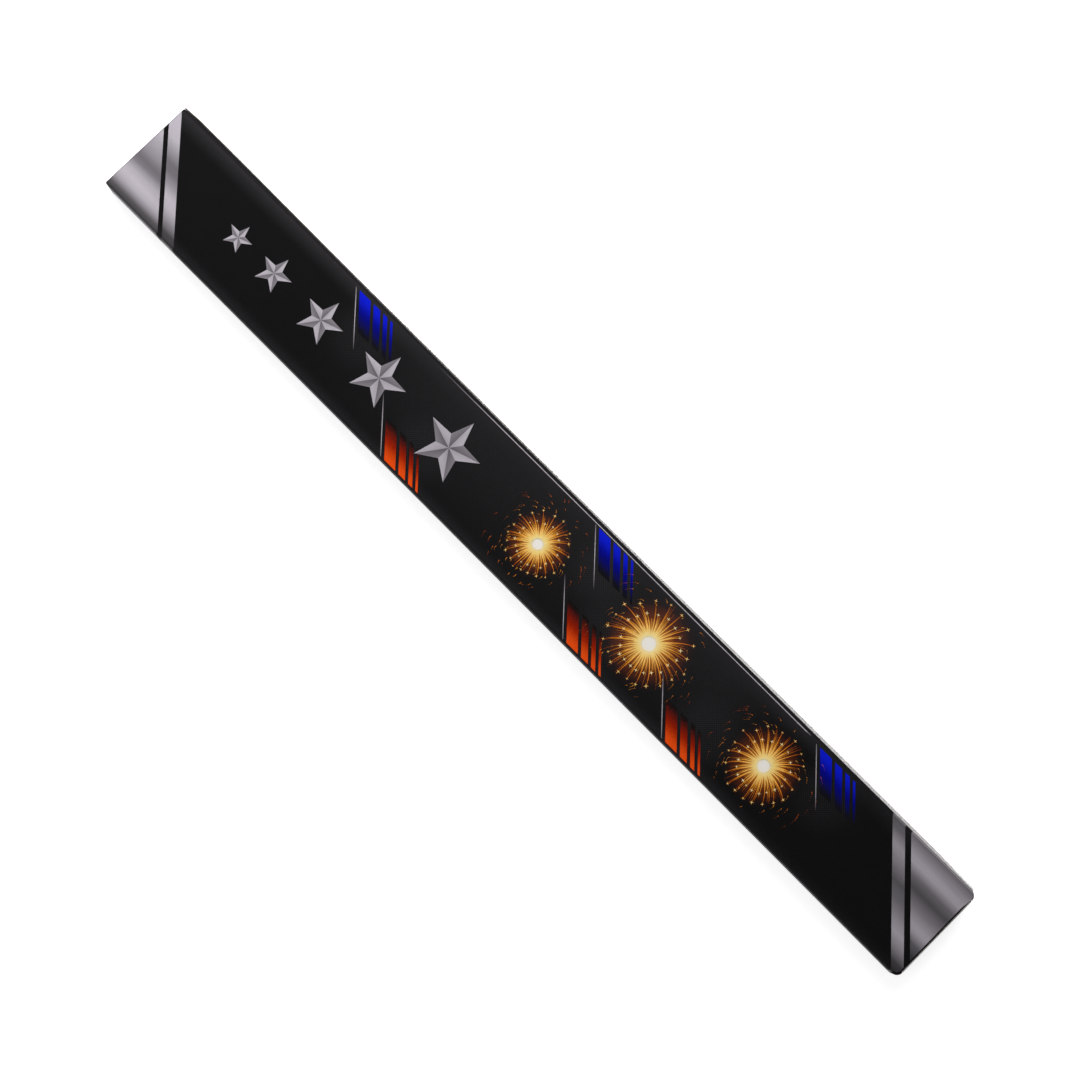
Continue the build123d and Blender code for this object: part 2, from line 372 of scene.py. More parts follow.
def add_piece(name, points, faces, materials, body, nodes=(), face_materials=None, values=None):
    """Makes one mesh piece that rides on a body and stands for CAD nodes."""
    mesh = smooth_mesh(name, points, faces, materials)
    if face_materials:
        mesh.polygons.foreach_set("material_index", face_materials)
    for key, numbers in (values or {}).items():
        mesh.attributes.new(key, "FLOAT", "POINT").data.foreach_set("value", numbers)
    mesh.set_sharp_from_angle(angle=SHARP_ANGLE)
    mesh.validate()
    piece = put(name, mesh)
    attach(piece, body)
    if nodes:
        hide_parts(*nodes)


# The carton's sheet as a path round its section, from the foot of the glue flap: length, and whether it folds
STRETCHES = {
    "glue_wall": (DEPTH - FOLD - GLUE_LOW.z, False),
    "seam_fold": (ARC, True),
    "front": (FRONT_HIGH.y - FRONT_LOW.y, False),
    "plain_fold": (ARC, True),
    "plain_wall": (DEPTH - 2 * FOLD, False),
    "plain_foot": (ARC, True),
    "back": (BACK_HIGH.y - BACK_LOW.y, False),
    "seam_foot": (ARC, True),
    "seam_wall": (SEAM_HIGH.z - FOLD, False),
}


def advance(y, z, heading, folds, length):
    """Place and heading after a length of a stretch."""
    if not folds:
        return y + length * cos(heading), z + length * sin(heading), heading
    after = heading + length / FOLD
    y += FOLD * (sin(after) - sin(heading))
    z -= FOLD * (cos(after) - cos(heading))
    return y, z, after


def lay_out_sheet():
    """Start distance, end distance, start point and heading of each stretch, and whether it folds."""
    runs = {}
    y, z, heading, distance = GLUE_HIGH.y, GLUE_LOW.z, pi / 2, 0.0
    for name, (length, folds) in STRETCHES.items():
        runs[name] = (distance, distance + length, y, z, heading, folds)
        y, z, heading = advance(y, z, heading, folds, length)
        distance += length
    return runs


RUNS = lay_out_sheet()


def swell(x, y):
    """How far the front panel stands out of flat: a slight crown, with faint ripples."""
    across = (2 * y - FRONT_HIGH.y - FRONT_LOW.y) / (FRONT_HIGH.y - FRONT_LOW.y)
    along = (2 * x - FRONT_HIGH.x - FRONT_LOW.x) / (FRONT_HIGH.x - FRONT_LOW.x)
    held = (1 - min(1.0, across * across)) ** 2
    ripple = noise.noise(Vector((x / RIPPLE_LENGTH, y / RIPPLE_WIDTH, RIPPLE_SLICE))) * FRONT_RIPPLE
    return held * (FRONT_SWELL * (1 - SWELL_LOST * along ** 4) + ripple)


def eased(value, low, high):
    """Smooth step from 0 at low to 1 at high."""
    share = min(1.0, max(0.0, (value - low) / (high - low)))
    return share * share * (3 - 2 * share)


def flare(x):
    """How far the top of the seam wall stands off the flap that it is glued to."""
    closing = 1 - FLARE_LOST * eased(x, FLARE_CLOSES, FRONT_LOW.x)
    return SEAM_FLARE * eased(x, FLARE_STARTS, FLARE_FULL) * closing


def on_sheet(x, w, lift=0.0):
    """Point and outward direction of the sheet's outer face at x, a distance w round the section."""
    start, end, y, z, heading, folds = next((run for run in RUNS.values() if w <= run[1]), RUNS["seam_wall"])
    y, z, angle = advance(y, z, heading, folds, w - start)
    out = Vector((0.0, sin(angle), -cos(angle)))
    if start == RUNS["front"][0]:
        step = 0.5
        rise_x = (swell(x + step, y) - swell(x - step, y)) / (2 * step)
        rise_y = (swell(x, y + step) - swell(x, y - step)) / (2 * step)
        out = Vector((-rise_x, -rise_y, 1.0)).normalized()
        z += swell(x, y)
    if start == RUNS["seam_wall"][0]:
        y += flare(x) * (w - start) / (end - start)
    return Vector((x, y, z)) + out * lift, out


def front_spot(x, y):
    """Sheet coordinates of a place on the front panel."""
    return x, RUNS["front"][0] + FRONT_HIGH.y - y


def evenly(low, high, count):
    """Values from low to high in so many equal steps."""
    return [low + (high - low) * k / count for k in range(count + 1)]


def spread(low, high, step):
    """Evenly spaced values from low to high, about a step apart."""
    return evenly(low, high, max(1, round(abs(high - low) / step)))


def corner_cut(along, start, radius):
    """How far a rounded corner of that radius has drawn in, past its start."""
    past = min(radius, max(0.0, along - start))
    return radius - sqrt(max(0.0, radius * radius - past * past))


ARC_STEPS = 10


def cornered(low, high, corner_start, step):
    """Values from low to high, closer together round a corner that starts at corner_start."""
    turns = evenly(0.0, pi / 2, ARC_STEPS)[1:]
    arc = [corner_start + (high - corner_start) * sin(turn) for turn in turns]
    return spread(low, corner_start, step) + arc


def rim_loop(rows, columns):
    """Grid places round the edge of a board piece, with the side that each lies on."""
    loop = [(0, j, "start") for j in range(columns)]
    loop += [(i, columns, "high") for i in range(rows)]
    loop += [(rows, j, "end") for j in range(columns, 0, -1)]
    loop += [(i, 0, "low") for i in range(rows, 0, -1)]
    return loop


RIM_STEPS, NUDGE = 4, 0.01
CREASE_WEAR = 0.026


def rims(creases=(), joins=()):
    """Kind of rim by side: a half-round crease, a flat join to the next panel, or a raw cut."""
    return lambda side, a, b: "crease" if side in creases else "join" if side in joins else "cut"


def board_piece(name, body, node, grid, place, outer, rim, wear=None, inked=None):
    """A piece of board: outer and inner face over a grid of sheet places, and a rim of one kind or another.
    Creases and joins keep the print on their outer half, and cuts show the raw board."""
    rows, columns = len(grid) - 1, len(grid[0]) - 1
    width = columns + 1
    points, wear_and_sheen_values = [], []
    for depth in (0.0, BOARD):
        for line in grid:
            for a, b in line:
                spot, out = place(a, b)
                points.append(spot - out * depth)
                wear_and_sheen_values.append(wear(a, b) if wear and depth == 0 else 0.0)
    inner = len(points) // 2
    faces, kinds = [], []
    for i in range(rows):
        for j in range(columns):
            quad = (i * width + j, (i + 1) * width + j, (i + 1) * width + j + 1, i * width + j + 1)
            faces.append(quad)
            kinds.append(0 if inked is None or inked(grid[i][j][0]) else 3)
            faces.append(tuple(inner + k for k in reversed(quad)))
            kinds.append(1)
    loop = rim_loop(rows, columns)
    draw = random.Random(name)
    rings = []
    for k, (i, j, side) in enumerate(loop):
        (a0, b0), (a1, b1) = (grid[p][q] for p, q, _ in (loop[k - 1], loop[(k + 1) % len(loop)]))
        a, b = grid[i][j]
        along = Vector((a1 - a0, b1 - b0)).normalized()
        spot, out = place(a, b)
        beside, _ = place(a - along.y * NUDGE, b + along.x * NUDGE)
        away = (beside - spot).normalized()
        kind = rim(side, a, b)
        rough_cut = CUT_BULGE + draw.uniform(-CUT_JITTER, CUT_JITTER)
        bulge = {"crease": BOARD / 2, "join": CREASE_GAP / 4, "cut": rough_cut}[kind]
        ring = [i * width + j]
        for step in range(1, RIM_STEPS):
            angle = pi * step / RIM_STEPS
            ring.append(len(points))
            points.append(spot - out * BOARD / 2 * (1 - cos(angle)) + away * bulge * sin(angle))
            wear_and_sheen_values.append(CREASE_WEAR if kind == "crease" else 0.0)
        ring.append(inner + i * width + j)
        rings.append(ring)
    for k, (i, j, side) in enumerate(loop):
        ring, following = rings[k], rings[(k + 1) % len(loop)]
        cut = rim(side, *grid[i][j]) == "cut"
        for step in range(RIM_STEPS):
            faces.append((ring[step], following[step], following[step + 1], ring[step + 1]))
            printed_half = step < RIM_STEPS // 2
            kinds.append(2 if cut else 0 if printed_half else 1)
    step_a, step_b = points[width] - points[0], points[1] - points[0]
    if step_a.cross(step_b).dot(place(*grid[0][0])[1]) < 0:
        faces = [tuple(reversed(face)) for face in faces]
    add_piece(
        name, points, faces, [outer, PLAIN_BOARD, RAW_EDGE, COATED_WHITE], body,
        (node,) if node else (), face_materials=kinds, values={"wear": wear_and_sheen_values},
    )


# Where the printed motifs stand on the front: x and radius of the stars, x, y and radius of the bursts,
# and x of the coloured bars at their fold
STAR_PLACES = ((-160, 6.0), (-140, 7.6), (-114, 9.6), (-82, 11.6), (-44, 13.4))
BURST_PLACES = ((6.0, -2.0, 13.5), (62.0, 1.0, 18.0), (124.0, -1.0, 15.5))
BLUE_PLACES = (-112.0, 18.0, 134.0)
ORANGE_PLACES = (-58.0, 40.0, 92.0)
BAR_REACH = 12.0
# Middle of each faint net beside the bars, and how far it spreads
NET_PLACES = ((-98.0, 7.0), (-52.0, -9.0), (32.0, 8.0), (48.0, -9.0), (100.0, -8.0), (148.0, 7.0))
NET_REACH = 17.0


BLACK_INK = black_ink("black_ink")
FOLD_INK = black_ink("fold_ink", FOLD_DULL)
FRONT_INK = black_ink(
    "front_ink",
    glows=[((x * MM, y * MM, DEPTH * MM), radius) for x, y, radius in BURST_PLACES],
    nets=[((x * MM, y * MM, DEPTH * MM), NET_REACH) for x, y in NET_PLACES],
)
PLAIN_BOARD = plain_board()
RAW_EDGE = raw_edge()
COATED_WHITE = coated_white()
SILVER_INK = silver_ink("silver_ink")
CORNER_SILVER = silver_ink("corner_silver", 0.36)
SPARK_INK = spark_ink()
BLUE_INK = fading_ink("blue_ink", (0.004, 0.012, 0.62), (0.001, 0.002, 0.20))
ORANGE_INK = fading_ink("orange_ink", (0.80, 0.075, 0.006), (0.30, 0.012, 0.001))
COAT = coat_material()
WIRE = wire_material()


# Carton panels

# Bare fibre that shows on folds, walls and rolled corners, and the share of it on the glue flap
FOLD_WEAR, WALL_WEAR, CORNER_WEAR, GLUE_SHARE = 0.033, 0.0065, 0.02, 0.4
# Where along the seam fold the pale line of cracked ink and painted crease highlight begins, is full, and
# ends
PALE_LINE_START, PALE_LINE_FULL, PALE_LINE_END = -75.0, -25.0, 127.9
# Edges of the pale line, cracked ink with a painted crease highlight, and of its fading sides, from the seam
# fold inwards
PALE_LINE_EDGES = (0.49, 0.55, 0.89, 0.95)
# Where along the front the painted sheen begins, is full, and has gone again
SHEEN_PLACES = (-130.0, -40.0, 90.0, 128.0)
# Painted sheen, mixed in as pale fibre, over the middle and along the two folds of the front, and how far
# inwards each reaches
PAINTED_SHEEN, SHEEN_REACH = 0.0145, 46.0
SEAM_SHEEN, SEAM_SHEEN_REACH = 0.029, 7.0
PLAIN_SHEEN, PLAIN_SHEEN_REACH = 0.013, 4.0
EDGE_SHEEN_POWER = 1.3
# Share of the painted sheen by the seam that the wide sheen hides, and of the sheen along both folds that
# fades out between two places
SHEEN_TAKES, TAIL_LACKS, TAIL_FADES = 0.8, 0.6, (118.0, 148.0)


def sheen_left(gap, reach):
    """Share of the painted sheen that is left at a gap from a long fold."""
    return max(0.0, 1 - gap / reach)


def front_sheen_and_crack(x, w):
    """Painted sheen that greys the ink slightly, widely over the middle of the pack and narrowly along both
    folds, and the pale line beside the seam fold.
    """
    start, end = RUNS["front"][:2]
    begins, full, fades, gone = SHEEN_PLACES
    middle = eased(x, begins, full) * (1 - eased(x, fades, gone))
    wide = PAINTED_SHEEN * sheen_left(w - start, SHEEN_REACH) * middle
    by_seam = SEAM_SHEEN * sheen_left(w - start, SEAM_SHEEN_REACH) ** EDGE_SHEEN_POWER * (1 - SHEEN_TAKES * middle)
    by_plain = PLAIN_SHEEN * sheen_left(end - w, PLAIN_SHEEN_REACH) ** EDGE_SHEEN_POWER
    left = 1 - TAIL_LACKS * eased(x, *TAIL_FADES)
    return max(wide + (by_seam + by_plain) * left, crack_and_highlight(x, w - start))


def crack_and_highlight(x, gap):
    """The pale line beside the seam fold, over part of its length: cracked ink and a painted highlight along
    the crease.
    """
    if not PALE_LINE_EDGES[1] <= gap <= PALE_LINE_EDGES[2] or x > PALE_LINE_END:
        return 0.0
    return eased(x, PALE_LINE_START, PALE_LINE_FULL)


def face_panel(name, node, stretch, low, high, gaps, ink, crease, step, wear=None):
    """The front or the back, with places at gaps from its first fold and the tail's corners rounded."""
    corner = high.x - TAIL_CORNER
    start, end = RUNS[stretch][:2]
    grid = []
    for x in cornered(low.x, high.x, corner, step):
        cut = corner_cut(x, corner, TAIL_CORNER)
        squeeze = (end - start - 2 * cut) / (end - start)
        grid.append([(x, start + cut + gap * squeeze) for gap in gaps])
    board_piece(name, "carton", node, grid, on_sheet, ink, rims((crease,), ("low", "high")), wear=wear)


def front_panel():
    """Its rows lie close together beside the folds, where the painted sheen and the pale line are narrow."""
    width, margin, last_row = FRONT_HIGH.y - FRONT_LOW.y, 1.4, 0.6
    gaps = [0.0, *PALE_LINE_EDGES] + spread(margin, width - margin, 1.0) + [width - last_row, width]
    face_panel(
        "front_board", "front_panel", "front", FRONT_LOW, FRONT_HIGH, gaps, FRONT_INK, "end",
        step=3.0, wear=front_sheen_and_crack,
    )


def back_panel():
    gaps = evenly(0.0, BACK_HIGH.y - BACK_LOW.y, 16)
    face_panel("back_board", "back_panel", "back", BACK_LOW, BACK_HIGH, gaps, BLACK_INK, "start", step=6.0)


CORNER_STEPS = 9


def tail_corner(name, side, ink):
    """Corner of the front where the long fold runs round into the tail crease."""
    middle_x = FRONT_HIGH.x - TAIL_CORNER
    middle_y = (FRONT_HIGH.y if side > 0 else FRONT_LOW.y) - side * TAIL_CORNER
    quarter = pi / 2

    def place(turn, roll):
        radius = FOLD + (END_ROLL - FOLD) * turn / quarter
        reach = TAIL_CORNER + radius * sin(roll)
        outward = Vector((sin(turn), side * cos(turn), 0.0))
        spot = Vector((middle_x, middle_y, DEPTH - radius * (1 - cos(roll)))) + outward * reach
        return spot, outward * sin(roll) + Vector((0.0, 0.0, cos(roll)))

    steps = evenly(0.0, quarter, CORNER_STEPS)
    grid = [[(turn, roll) for roll in steps] for turn in steps]
    board_piece(
        name, "carton", None, grid, place, ink, rims(joins=("start", "end", "low")),
        wear=lambda turn, roll: CORNER_WEAR * sin(2 * roll),
    )


BESIDE_FOLD, FOLD_STEP, WALL_STEP, WALL_STEPS = 0.2, FOLD / 5, 1.2, 210


def section(*names):
    """Places round the section over some stretches, close together on the folds and beside them."""
    places = []
    for name in names:
        start, end, *_, folds = RUNS[name]
        if folds:
            stretch = spread(start, end, FOLD_STEP)
        else:
            stretch = [start] + spread(start + BESIDE_FOLD, end - BESIDE_FOLD, WALL_STEP) + [end]
        if name == "seam_wall":
            stretch = stretch[:-2] + [end - SEAM_TAB - TAB_GAP, end - SEAM_TAB, end]
        places += stretch[(1 if places else 0):]
    return places


def fold_wear(w, _x):
    """Cracked ink along the middle of a fold, and a trace of it on the walls."""
    for start, end, *_, folds in RUNS.values():
        if folds and start <= w <= end:
            return FOLD_WEAR * sin(pi * (w - start) / (end - start))
    return WALL_WEAR


def head_end(w):
    """Where the board stops at the head. The folds run on to the cut edge of the front or back, and so does
    the seam wall above its dust flap."""
    for name, (start, end, *_) in RUNS.items():
        if not start <= w <= end:
            continue
        if name.endswith("fold"):
            from_front = (end - w if name == "seam_fold" else w - start) / (end - start)
            return FRONT_LOW.x + (WALL_START - FRONT_LOW.x) * from_front ** 3
        if name.endswith("foot"):
            return BACK_LOW.x
        if name == "seam_wall" and w >= end - SEAM_TAB:
            return FRONT_LOW.x
    return WALL_START


def wall_rim(side, w, x):
    """Walls join the folds and the dust flaps. The seam wall's top, and what runs on at the head, are cut."""
    if side == "end" and w == RUNS["seam_wall"][1]:
        return "cut"
    start, end = RUNS["plain_fold"][:2]
    runs_on = start <= w <= end or w >= RUNS["seam_wall"][1] - SEAM_TAB
    return "cut" if side == "low" and runs_on else "join"


def wall_line(w, mitre=0.0):
    """Places along the board at a distance w round the section, drawn in by a mitre at both ends."""
    return [(w, x) for x in evenly(head_end(w) + mitre, SIDE_HIGH.x - mitre, WALL_STEPS)]


def wall_place(w, x):
    return on_sheet(x, w)


def wall(name, node, stretches):
    grid = [wall_line(w) for w in section(*stretches)]
    board_piece(name, "carton", node, grid, wall_place, BLACK_INK, wall_rim, wear=fold_wear)


def glue_flap():
    """Turned down inside the seam wall, its ends mitred below the fold."""
    wall_end = RUNS["glue_wall"][1]
    grid = [wall_line(w, GLUE_MITRE * max(0.0, 1 - w / wall_end)) for w in section("glue_wall", "seam_fold")]
    board_piece(
        "glue_flap_board", "carton", "glue_flap", grid, wall_place, FOLD_INK, rims(joins=("end",)),
        wear=lambda w, x: GLUE_SHARE * fold_wear(w, x),
    )


def edge_fibres():
    """Torn fibres that stand out of the raw edge of the seam wall, longest towards the tail."""
    draw = random.Random(7)
    points, faces = [], []
    for x in spread(WALL_START + 0.5, SIDE_HIGH.x - 0.5, FIBRE_STEP):
        reach = FIBRE_REACH + sum(gain * eased(x, low, high) for gain, low, high in FIBRE_GAINS)
        length = reach * draw.uniform(*FIBRE_VARIES)
        half = draw.uniform(*FIBRE_HALF_WIDTH)
        edge_y = SEAM_HIGH.y + flare(x)
        foot = Vector((x, edge_y - draw.uniform(0.1, BOARD - 0.1), SEAM_HIGH.z - 0.02))
        along = Vector([draw.uniform(*lean) for lean in FIBRE_LEAN]).normalized()
        first = len(points)
        for step_x, step_y in ((half, 0.0), (-half, half), (-half, -half)):
            points.append(foot + Vector((step_x, step_y, 0.0)))
        points.append(Vector((foot.x, edge_y, foot.z + 0.06)) + along * length)
        faces.append((first, first + 2, first + 1))
        faces += [(first + a, first + b, first + 3) for a, b in ((0, 1), (1, 2), (2, 0))]
    add_piece("seam_edge_fibres", points, faces, [RAW_EDGE], "carton")


def edge_burr():
    """Crushed lip of board that leans out of the raw edge of the seam wall towards the tail."""
    draw = random.Random(11)
    last_x = SIDE_HIGH.x - BURR_ROOT
    points, faces = [], []
    for x in spread(BURR_STARTS, last_x, FIBRE_STEP):
        grown = eased(x, BURR_STARTS, BURR_FULL) * (1 - eased(x, BURR_CLOSES, last_x))
        edge_y = SEAM_HIGH.y + flare(x)
        inner_y = edge_y - BOARD / 4
        outer_y = edge_y + BURR_REACH * grown * draw.uniform(*BURR_VARIES)
        points.append(Vector((x, inner_y, SEAM_HIGH.z - 0.01)))
        points.append(Vector((x, outer_y, SEAM_HIGH.z - draw.uniform(*BURR_HANGS))))
        points.append(Vector((x, inner_y, SEAM_HIGH.z - BURR_ROOT)))
    for first in range(0, len(points) - 3, 3):
        after = first + 3
        faces += [(first + a, after + a, after + b, first + b) for a, b in ((0, 1), (1, 2), (2, 0))]
    end = len(points)
    faces += [(0, 1, 2), (end - 1, end - 2, end - 3)]
    add_piece("seam_edge_burr", points, faces, [RAW_EDGE], "carton")


# End closures

# Which way each end faces
ENDS = {"head": -1, "tail": 1}


def closure(end, outward):
    """End panel from the carton's crease to the tongue's: up at the head, down at the tail."""
    node = f"{end}_closure_panel"
    low, high = node_box(node)
    rise = -outward
    face_x = (low.x + high.x) / 2 + outward * BOARD / 2
    reach = high.z - low.z - BOARD
    first = (low.z if rise > 0 else high.z) + rise * BOARD / 2

    def place(a, b):
        return Vector((face_x, b, first + rise * a)), Vector((outward, 0.0, 0.0))

    grid = [[(a, b) for b in spread(low.y, high.y, 1.0)] for a in spread(0.0, reach, 0.8)]
    rim = rims(("start", "end"))
    board_piece(f"{end}_closure_board", f"{end}_closure", node, grid, place, BLACK_INK, rim)


def tucked(name, body, node, place, span, length, radius, bleed, step, count):
    """A flap that tucks in, its corners rounded: inked a little way past its crease, then bare coated liner.
    span gives its two sides at a distance from the crease."""
    corner = length - radius
    grid = []
    for a in cornered(0.0, length - CUT_BULGE, corner, step):
        cut = corner_cut(a, corner, radius)
        low, high = span(a)
        grid.append([(a, b) for b in evenly(low + cut, high - cut, count)])
    board_piece(
        name, body, node, grid, place, BLACK_INK, rims(("start",)), inked=lambda a: a < bleed,
    )


def tongue(end, outward):
    """Lip of a closure, tucked in behind the front at the head and over the back at the tail."""
    node = f"{end}_tuck_tongue"
    low, high = node_box(node)
    inward = face = -outward
    crease_x = (low.x if inward > 0 else high.x) + inward * BOARD / 2
    length = high.x - low.x - BOARD / 2
    face_z = high.z if face > 0 else low.z

    def place(a, b):
        return Vector((crease_x + inward * a, b, face_z)), Vector((0.0, 0.0, face))

    tucked(
        f"{end}_tongue_board", f"{end}_tongue", node, place, lambda a: (low.y, high.y), length,
        TONGUE_CORNER, TONGUE_BLEED, step=0.5, count=36,
    )


def dust_flap(end, side_name, outward):
    """Side flap inside a closure, tapered towards the closure's own crease."""
    node = f"{end}_dust_flap_{side_name}_side"
    low, high = node_box(node)
    side = -1 if side_name == "plain" else 1
    crease_y = (low.y if side < 0 else high.y) - side * BOARD / 2
    length = high.y - low.y - BOARD / 2
    face_x = high.x if outward > 0 else low.x
    taper = (high.z - low.z - FLAP_TIP) / length

    def place(a, b):
        return Vector((face_x, crease_y - side * a, b)), Vector((outward, 0.0, 0.0))

    def span(a):
        return (low.z + taper * a, high.z) if end == "head" else (low.z, high.z - taper * a)

    tucked(
        f"{end}_flap_board_{side_name}_side", f"{end}_flap_{side_name}", node, place, span, length,
        FLAP_CORNER, FLAP_BLEED, step=0.8, count=10,
    )


# Print on the carton

class Ink:
    """Thin printed shapes on the carton's outer face, gathered into one piece."""

    def __init__(self):
        self.points, self.faces, self.tones = [], [], []

    def shape(self, spots, faces, tones, layer=1):
        """A flat shape given by sheet places, the faces between them and a tone at each."""
        first, count = len(self.points), len(spots)
        for lift in (layer * FILM, 0.2 * FILM):
            self.points += [on_sheet(x, w, lift)[0] for x, w in spots]
        self.tones += list(tones) * 2
        (ax, aw), (bx, bw), (cx, cw) = (spots[k] for k in faces[0][:3])
        turned = (bx - ax) * (cw - aw) - (bw - aw) * (cx - ax) > 0
        faces = [tuple(reversed(face)) if turned else tuple(face) for face in faces]
        edges = {(face[k - 1], face[k]) for face in faces for k in range(len(face))}
        for face in faces:
            self.faces.append(tuple(first + k for k in face))
            self.faces.append(tuple(first + count + k for k in reversed(face)))
        for a, b in sorted(edges):
            if (b, a) not in edges:
                self.faces.append((first + b, first + a, first + count + a, first + count + b))

    def strip(self, rails, tones, layer=1):
        """A shape between rails: each rung is a list of sheet places with one tone."""
        width = len(rails[0])
        spots = [spot for rung in rails for spot in rung]
        levels = [tone for tone in tones for _ in range(width)]
        faces = [
            (i * width + j, i * width + j + 1, (i + 1) * width + j + 1, (i + 1) * width + j)
            for i in range(len(rails) - 1)
            for j in range(width - 1)
        ]
        self.shape(spots, faces, levels, layer)

    def piece(self, name, material):
        tones = {"tone": self.tones}
        add_piece(name, self.points, self.faces, [material], "carton", values=tones)


def end_limits(stretch, w):
    """First and last x of the board at a place on the sheet."""
    start, end = RUNS[stretch][:2]
    if stretch not in ("front", "back"):
        return head_end(w), SIDE_HIGH.x
    low, high = (FRONT_LOW, FRONT_HIGH) if stretch == "front" else (BACK_LOW, BACK_HIGH)
    from_edge = min(w - start, end - w)
    return low.x, high.x - corner_cut(TAIL_CORNER - from_edge, 0.0, TAIL_CORNER)


def slant(middle_x, stretch, w):
    """x of a slanted printed edge: it leans across the front, runs square across the walls and back again."""
    start, end = RUNS[stretch][:2]
    seam_x, plain_x = middle_x - LEAN * FRONT_HIGH.y, middle_x - LEAN * FRONT_LOW.y
    if stretch == "front":
        return middle_x - LEAN * (FRONT_HIGH.y - (w - start))
    if stretch == "back":
        return plain_x + (seam_x - plain_x) * (w - start) / (end - start)
    return plain_x if stretch.startswith("plain") else seam_x


BAND_STRETCHES = [name for name in STRETCHES if name != "glue_wall"]
BAND_EDGE, BAND_STEP, BAND_FOLD_STEP = 0.02, 0.5, 0.25
# How light the silver is across the front, from the plain side to the seam
HEAD_BLOCK_TONES = (
    (-20.6, 0.09), (-18.9, 0.16), (-15.4, 0.86), (-12.8, 1.03), (-9.6, 0.82), (-6.4, 0.36), (-4.4, 0.27),
    (-2.6, 0.36), (-0.4, 0.51), (4.6, 0.74), (8.6, 0.95),
)
HEAD_BAND_TONES = (
    (-20.6, 0.06), (-18.4, 0.10), (-11.4, 0.96), (-8.4, 1.03), (-4.4, 0.56), (-0.6, 0.28), (2.2, 0.28),
    (5.6, 0.53), (9.6, 0.85), (14.6, 0.92),
)
TAIL_BAND_TONES = (
    (-20.6, 0.05), (-17.9, 0.12), (-13.4, 0.67), (-9.9, 1.0), (-5.4, 0.66), (-1.4, 0.38), (3.6, 0.24),
    (9.6, 0.62), (13.1, 0.85), (17.2, 0.36), (20.1, 0.26),
)
TAIL_BLOCK_TONES = (
    (-12.4, 0.08), (-8.4, 0.3), (-4.9, 0.96), (-3.4, 1.04), (1.6, 0.51), (6.2, 0.19), (9.6, 0.38),
    (13.6, 1.13), (17.6, 0.66), (20.1, 0.38),
)
# Where the slanted edges of each band cross the middle of the front, and its tones
SILVER_PRINTS = {
    "silver_head_print": ((None, -203.0, HEAD_BLOCK_TONES), (-200.5, -194.0, HEAD_BAND_TONES)),
    "silver_tail_print": ((188.9, 195.3, TAIL_BAND_TONES), (198.4, None, TAIL_BLOCK_TONES)),
}


def graded(y, tones):
    """Tone at y, straight between the listed ones."""
    for (y0, tone0), (y1, tone1) in zip(tones, tones[1:]):
        if y <= y1:
            return tone0 + (tone1 - tone0) * max(0.0, (y - y0) / (y1 - y0))
    return tones[-1][1]


def band(ink, left, right, shades):
    """A silver band round the carton between two slanted edges, or the carton's end where one is None.
    Its light and dark run along the carton."""
    for stretch in BAND_STRETCHES:
        start, end, *_, folds = RUNS[stretch]
        rungs, tones = [], []
        for w in spread(start + BAND_EDGE, end - BAND_EDGE, BAND_FOLD_STEP if folds else BAND_STEP):
            low, high = end_limits(stretch, w)
            y = on_sheet(low, w)[0].y
            # Black strip at the head: painted shade along the cut edge
            low += HEAD_MARGIN
            high -= TAIL_MARGIN * min(1.0, max(0.0, (MARGIN_CLOSES - y) / MARGIN_EASE))
            first = low if left is None else max(low, slant(left, stretch, w))
            last = high if right is None else min(high, slant(right, stretch, w))
            if last - first > BAND_EDGE:
                rungs.append([(x, w) for x in evenly(first, last, 6)])
                tones.append(graded(y, shades))
        if len(rungs) > 1:
            ink.strip(rungs, tones)


def silver_ends():
    for name, bands in SILVER_PRINTS.items():
        ink = Ink()
        for left, right, shades in bands:
            band(ink, left, right, shades)
        ink.piece(name, SILVER_INK)


STAR_HOLLOW, TWINKLE_HOLLOW = 0.42, 0.22
LIGHT_FACET, DARK_FACET = (0.75, 1.1, 1.0), (0.22, 0.42, 0.5)


def star_ring(spot, points, outer, inner, turn):
    """Places round a star on the front, its points and hollows in turn."""
    ring = []
    for k in range(2 * points):
        reach = inner if k % 2 else outer
        angle = turn + pi * k / points
        ring.append(front_spot(spot.x + reach * cos(angle), spot.y + reach * sin(angle)))
    return ring


def silver_stars():
    """Five-pointed stars of ten facets, alternately light and dark."""
    ink = Ink()
    for x, radius in STAR_PLACES:
        ring = star_ring(Vector((x, 0.0)), 5, radius, STAR_HOLLOW * radius, pi / 2)
        for k in range(10):
            tones = LIGHT_FACET if k % 2 else DARK_FACET
            ink.shape([front_spot(x, 0.0), ring[k], ring[(k + 1) % 10]], [(0, 1, 2)], tones, layer=2)
    ink.piece("star_print", SILVER_INK)


# Firework flowers: how far trails droop and thin, and how many of each kind. Reaches are shares of the radius
DROOP, TRAIL_TAPER, TRAIL_STEPS = 0.16, 0.8, 8
TRAILS, HAIRS, SPARKS = 40, 120, 70
LONG_TRAIL, SHORT_TRAIL, TRAIL_START = 0.92, 0.64, 0.16
TRAIL_TURNS, TRAIL_VARIES, TRAIL_WIDTH, TIP_STAR = (0.3, 0.7), (0.92, 1.06), (0.4, 0.6), (0.035, 0.06)
LONG_TONE, SHORT_TONE = 0.5, 0.25
HAIR_START, HAIR_REACH, HAIR_WIDTH = 0.15, (0.35, 1.0), 0.2
SPARK_RING, SPARK_LENGTH, SPARK_WIDTH, SPARK_FADE = (0.75, 1.5), (0.3, 1.3), 0.24, 1.6
SPARK_MARGIN = 2.5


